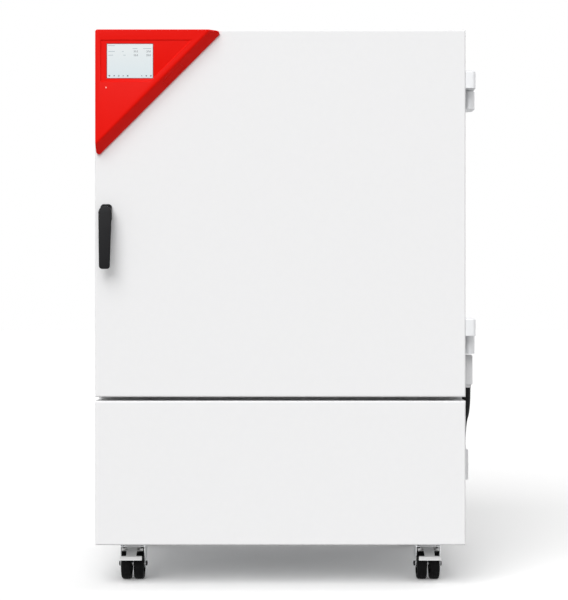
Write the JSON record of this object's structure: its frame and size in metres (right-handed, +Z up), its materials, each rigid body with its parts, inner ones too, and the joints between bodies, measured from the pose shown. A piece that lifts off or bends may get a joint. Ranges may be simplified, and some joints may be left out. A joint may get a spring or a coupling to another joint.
{
  "type": "refrigerated incubator",
  "caption": "Free-standing insulated cabinet on swivel casters with a solid door, an inner glass door, perforated shelves and a triangular control panel on the door's corner.",
  "frame": {"origin": "bottom centre of the whole object's box, on the floor under the casters", "axes": "+X to the right seen from the front, +Y from the door to the rear, +Z up"},
  "size_m": [0.9656, 0.844, 1.393],
  "materials": {
    "white_paint": "satin powder coat",
    "panel_red": "satin moulded plastic",
    "screen_glass": "lit display under glass",
    "black_plastic": "satin black plastic",
    "grey_plastic": "light grey plastic",
    "hinge_grey": "light grey paint",
    "stainless": "brushed stainless steel",
    "zinc_steel": "bright zinc plated steel",
    "copper": "copper tube",
    "fins": "thin aluminium fins",
    "foam": "rigid insulation foam",
    "gasket_grey": "soft gasket",
    "silicone": "soft silicone plug",
    "clear_glass": "clear tempered glass",
    "tyre_grey": "dark grey tread",
    "black_metal": "black enamel"
  },
  "bodies": {
    "cabinet": {"side_panel_left": "white_paint", "side_panel_right": "white_paint", "top_panel": "white_paint", "rear_panel": "white_paint", "base_frame": "zinc_steel", "lower_front_panel": "white_paint", "divider_plate": "zinc_steel", "front_frame": "white_paint", "chamber_liner": "stainless", "insulation_jacket": "foam", "air_ducts": "stainless", "rear_air_panel": "stainless", "fan_motor": "black_metal", "air_heater": "stainless", "evaporator": "fins", "chamber_gasket": "silicone", "compressor": "black_metal", "condenser": "fins", "refrigerant_lines": "copper", "control_box": "zinc_steel", "hinge_body_leaves": "hinge_grey", "glass_hinge_brackets": "stainless", "cable_cover": "grey_plastic", "door_cable": "black_plastic", "switch_box": "grey_plastic", "access_port_sleeve": "stainless", "caster_plates": "zinc_steel"},
    "outer_door": {"door_outer_skin": "white_paint", "door_inner_panel": "stainless", "door_insulation": "foam", "door_gasket": "gasket_grey", "instrument_panel": "panel_red", "touch_screen": "screen_glass", "handle_base": "black_plastic", "hinge_door_leaves": "hinge_grey"},
    "handle": {"handle_lever": "black_plastic"},
    "plunger": {"release_plunger": "black_plastic"},
    "glass_door": {"glass_pane": "clear_glass", "glass_door_fittings": "stainless"},
    "upper_shelf": {"shelf_upper": "stainless"},
    "lower_shelf": {"shelf_lower": "stainless"},
    "chamber_fan": {"fan_wheel": "fins"},
    "machine_fan": {"condenser_fan": "black_plastic"},
    "switch_rocker": {"main_switch": "black_plastic"},
    "plug": {"port_plug": "silicone"},
    "socket_cover": {"usb_cover": "panel_red"},
    "fork_front_left": {"caster_fork_front_left": "zinc_steel"},
    "wheel_front_left_outer": {"caster_wheel_front_left_outer": "tyre_grey"},
    "wheel_front_left_inner": {"caster_wheel_front_left_inner": "tyre_grey"},
    "pedal_front_left": {"brake_pedal_front_left": "zinc_steel"},
    "fork_front_right": {"caster_fork_front_right": "zinc_steel"},
    "wheel_front_right_outer": {"caster_wheel_front_right_outer": "tyre_grey"},
    "wheel_front_right_inner": {"caster_wheel_front_right_inner": "tyre_grey"},
    "pedal_front_right": {"brake_pedal_front_right": "zinc_steel"},
    "fork_rear_left": {"caster_fork_rear_left": "zinc_steel"},
    "wheel_rear_left_outer": {"caster_wheel_rear_left_outer": "tyre_grey"},
    "wheel_rear_left_inner": {"caster_wheel_rear_left_inner": "tyre_grey"},
    "fork_rear_right": {"caster_fork_rear_right": "zinc_steel"},
    "wheel_rear_right_outer": {"caster_wheel_rear_right_outer": "tyre_grey"},
    "wheel_rear_right_inner": {"caster_wheel_rear_right_inner": "tyre_grey"}
  },
  "joints": [
    {"name": "door_hinge", "type": "hinge", "parent": "cabinet", "child": "outer_door", "pos_m": [0.46697, -0.31803, 0.935], "axis": [0, 0, 1], "range_deg": [0, 120]},
    {"name": "glass_door_hinge", "type": "hinge", "parent": "cabinet", "child": "glass_door", "pos_m": [0.34647, -0.29203, 0.935], "axis": [0, 0, 1], "range_deg": [0, 90]},
    {"name": "upper_shelf_slide", "type": "slide", "parent": "cabinet", "child": "upper_shelf", "axis": [0, -1, 0], "range_m": [0, 0.1505]},
    {"name": "lower_shelf_slide", "type": "slide", "parent": "cabinet", "child": "lower_shelf", "axis": [0, -1, 0], "range_m": [0, 0.1505]},
    {"name": "handle_pivot", "type": "hinge", "parent": "outer_door", "child": "handle", "pos_m": [-0.44453, -0.39103, 0.9378], "axis": [-1, 0, 0], "range_deg": [0, 30], "stiffness_Nm_per_rad": 0.5},
    {"name": "plunger_slide", "type": "slide", "parent": "outer_door", "child": "plunger", "axis": [0, 1, 0], "range_m": [0, 0.0052]},
    {"name": "socket_cover_hinge", "type": "hinge", "parent": "outer_door", "child": "socket_cover", "pos_m": [-0.27399, -0.38773, 1.27586], "axis": [0.7071, 0, 0.7071], "range_deg": [0, 100]},
    {"name": "chamber_fan_spin", "type": "hinge", "parent": "cabinet", "child": "chamber_fan", "pos_m": [-0.01053, 0.21737, 1.17], "axis": [0, 1, 0], "continuous": true},
    {"name": "condenser_fan_spin", "type": "hinge", "parent": "cabinet", "child": "machine_fan", "pos_m": [-0.16053, -0.12803, 0.245], "axis": [0, 1, 0], "continuous": true},
    {"name": "main_switch_tilt", "type": "hinge", "parent": "cabinet", "child": "switch_rocker", "pos_m": [0.47497, -0.17303, 0.29208], "axis": [0, 1, 0], "range_deg": [0, 16]},
    {"name": "port_plug_slide", "type": "slide", "parent": "cabinet", "child": "plug", "axis": [-1, 0, 0], "range_m": [0, 0.06]},
    {"name": "swivel_front_left", "type": "hinge", "parent": "cabinet", "child": "fork_front_left", "pos_m": [-0.39003, -0.21303, 0.0937], "axis": [0, 0, 1], "continuous": true},
    {"name": "roll_front_left_outer", "type": "hinge", "parent": "fork_front_left", "child": "wheel_front_left_outer", "pos_m": [-0.39003, -0.24803, 0.04], "axis": [1, 0, 0], "continuous": true},
    {"name": "roll_front_left_inner", "type": "hinge", "parent": "fork_front_left", "child": "wheel_front_left_inner", "pos_m": [-0.39003, -0.24803, 0.04], "axis": [1, 0, 0], "continuous": true},
    {"name": "brake_front_left", "type": "hinge", "parent": "fork_front_left", "child": "pedal_front_left", "pos_m": [-0.39003, -0.26403, 0.085], "axis": [1, 0, 0], "range_deg": [0, 12]},
    {"name": "swivel_front_right", "type": "hinge", "parent": "cabinet", "child": "fork_front_right", "pos_m": [0.36897, -0.21303, 0.0937], "axis": [0, 0, 1], "continuous": true},
    {"name": "roll_front_right_outer", "type": "hinge", "parent": "fork_front_right", "child": "wheel_front_right_outer", "pos_m": [0.36897, -0.24803, 0.04], "axis": [1, 0, 0], "continuous": true},
    {"name": "roll_front_right_inner", "type": "hinge", "parent": "fork_front_right", "child": "wheel_front_right_inner", "pos_m": [0.36897, -0.24803, 0.04], "axis": [1, 0, 0], "continuous": true},
    {"name": "brake_front_right", "type": "hinge", "parent": "fork_front_right", "child": "pedal_front_right", "pos_m": [0.36897, -0.26403, 0.085], "axis": [1, 0, 0], "range_deg": [0, 12]},
    {"name": "swivel_rear_left", "type": "hinge", "parent": "cabinet", "child": "fork_rear_left", "pos_m": [-0.39003, 0.33897, 0.0937], "axis": [0, 0, 1], "continuous": true},
    {"name": "roll_rear_left_outer", "type": "hinge", "parent": "fork_rear_left", "child": "wheel_rear_left_outer", "pos_m": [-0.39003, 0.30397, 0.04], "axis": [1, 0, 0], "continuous": true},
    {"name": "roll_rear_left_inner", "type": "hinge", "parent": "fork_rear_left", "child": "wheel_rear_left_inner", "pos_m": [-0.39003, 0.30397, 0.04], "axis": [1, 0, 0], "continuous": true},
    {"name": "swivel_rear_right", "type": "hinge", "parent": "cabinet", "child": "fork_rear_right", "pos_m": [0.36897, 0.33897, 0.0937], "axis": [0, 0, 1], "continuous": true},
    {"name": "roll_rear_right_outer", "type": "hinge", "parent": "fork_rear_right", "child": "wheel_rear_right_outer", "pos_m": [0.36897, 0.30397, 0.04], "axis": [1, 0, 0], "continuous": true},
    {"name": "roll_rear_right_inner", "type": "hinge", "parent": "fork_rear_right", "child": "wheel_rear_right_inner", "pos_m": [0.36897, 0.30397, 0.04], "axis": [1, 0, 0], "continuous": true}
  ],
  "couplings": [
    {"joint": "glass_door_hinge", "follows": "door_hinge", "ratio": 0.75},
    {"joint": "upper_shelf_slide", "follows": "door_hinge", "m_per_rad": 0.07162},
    {"joint": "lower_shelf_slide", "follows": "door_hinge", "m_per_rad": 0.07162},
    {"joint": "plunger_slide", "follows": "handle_pivot", "m_per_rad": 0.0099}
  ]
}
